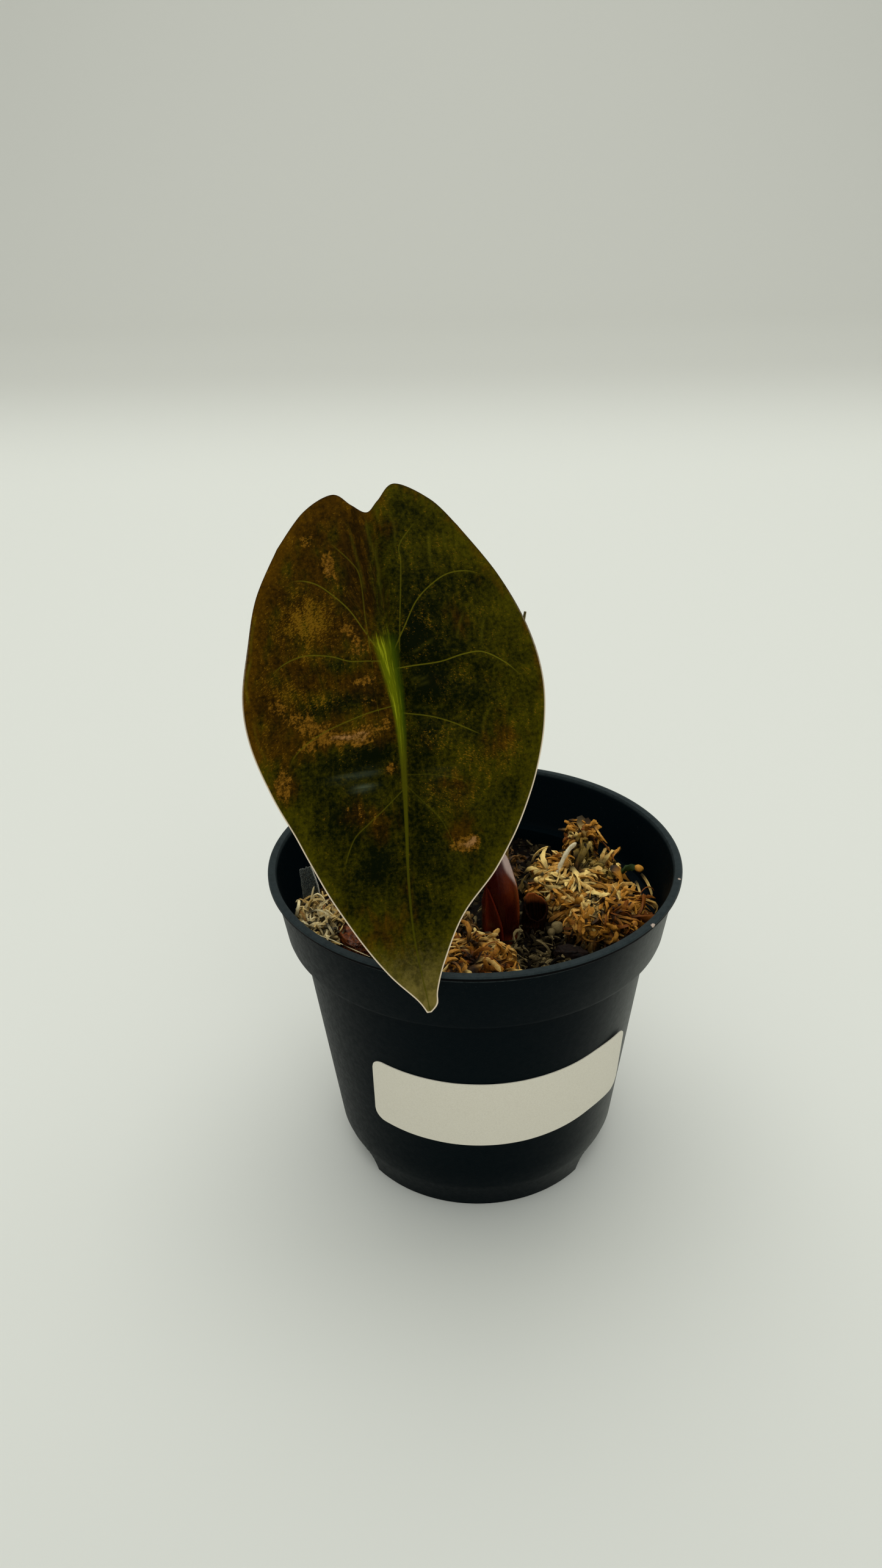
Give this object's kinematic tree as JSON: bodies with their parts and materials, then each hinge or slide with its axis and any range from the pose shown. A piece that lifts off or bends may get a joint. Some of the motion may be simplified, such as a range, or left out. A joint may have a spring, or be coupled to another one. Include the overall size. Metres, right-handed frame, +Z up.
{
  "type": "potted variegated alocasia",
  "caption": "Young potted aroid: one hanging shield-shaped leaf on an arching stalk with a rolled new leaf, in a round nursery pot topped with dried moss.",
  "frame": {"origin": "centre of the pot's flat underside, on the surface it stands on", "axes": "+Z up along the pot's axis; -Y is the front, which the leaf's upper face looks towards; +X is to the right"},
  "size_m": [0.076, 0.0781, 0.1318],
  "materials": {
    "pot_plastic": "satin blue-black injection-moulded plastic",
    "label_paper": "uncoated warm white paper sticker, blank",
    "potting_mix": "damp dark bark and peat with small pale bits",
    "corm": "fibrous tan corm and pale roots",
    "stalk": "glossy dark red-brown skin with a pale papery margin",
    "blade": "satin dark olive and bronze, speckled with copper, lime green midrib",
    "new_leaf": "rolled leaf, olive bronze, dark at the tip",
    "scale_leaf": "glossy dark red",
    "dry_leaf_base": "dry orange-brown papery sheath",
    "dry_strip": "thin pale papery strip",
    "root": "smooth off-white root",
    "bark_red": "wet reddish-brown bark",
    "bark_dark": "wet dark bark",
    "moss_gold": "dried sphagnum, golden tan",
    "moss_pale": "dried sphagnum, pale straw",
    "moss_brown": "dried sphagnum, brownish tan"
  },
  "bodies": {
    "root": {"nursery_pot": "pot_plastic", "blank_label": "label_paper", "potting_mix": "potting_mix", "corm_with_roots": "corm", "leaf_stalk": "stalk", "leaf_blade": "blade", "new_leaf": "new_leaf", "scale_leaf": "scale_leaf", "old_leaf_base": "dry_leaf_base", "dry_strip": "dry_strip", "root_bit": "root", "bark_chip_left": "bark_red", "bark_chip_right": "bark_dark", "moss_heap": "moss_gold", "moss_front": "moss_gold", "moss_left": "moss_pale", "moss_middle": "moss_brown", "moss_back": "moss_brown"}
  },
  "joints": []
}
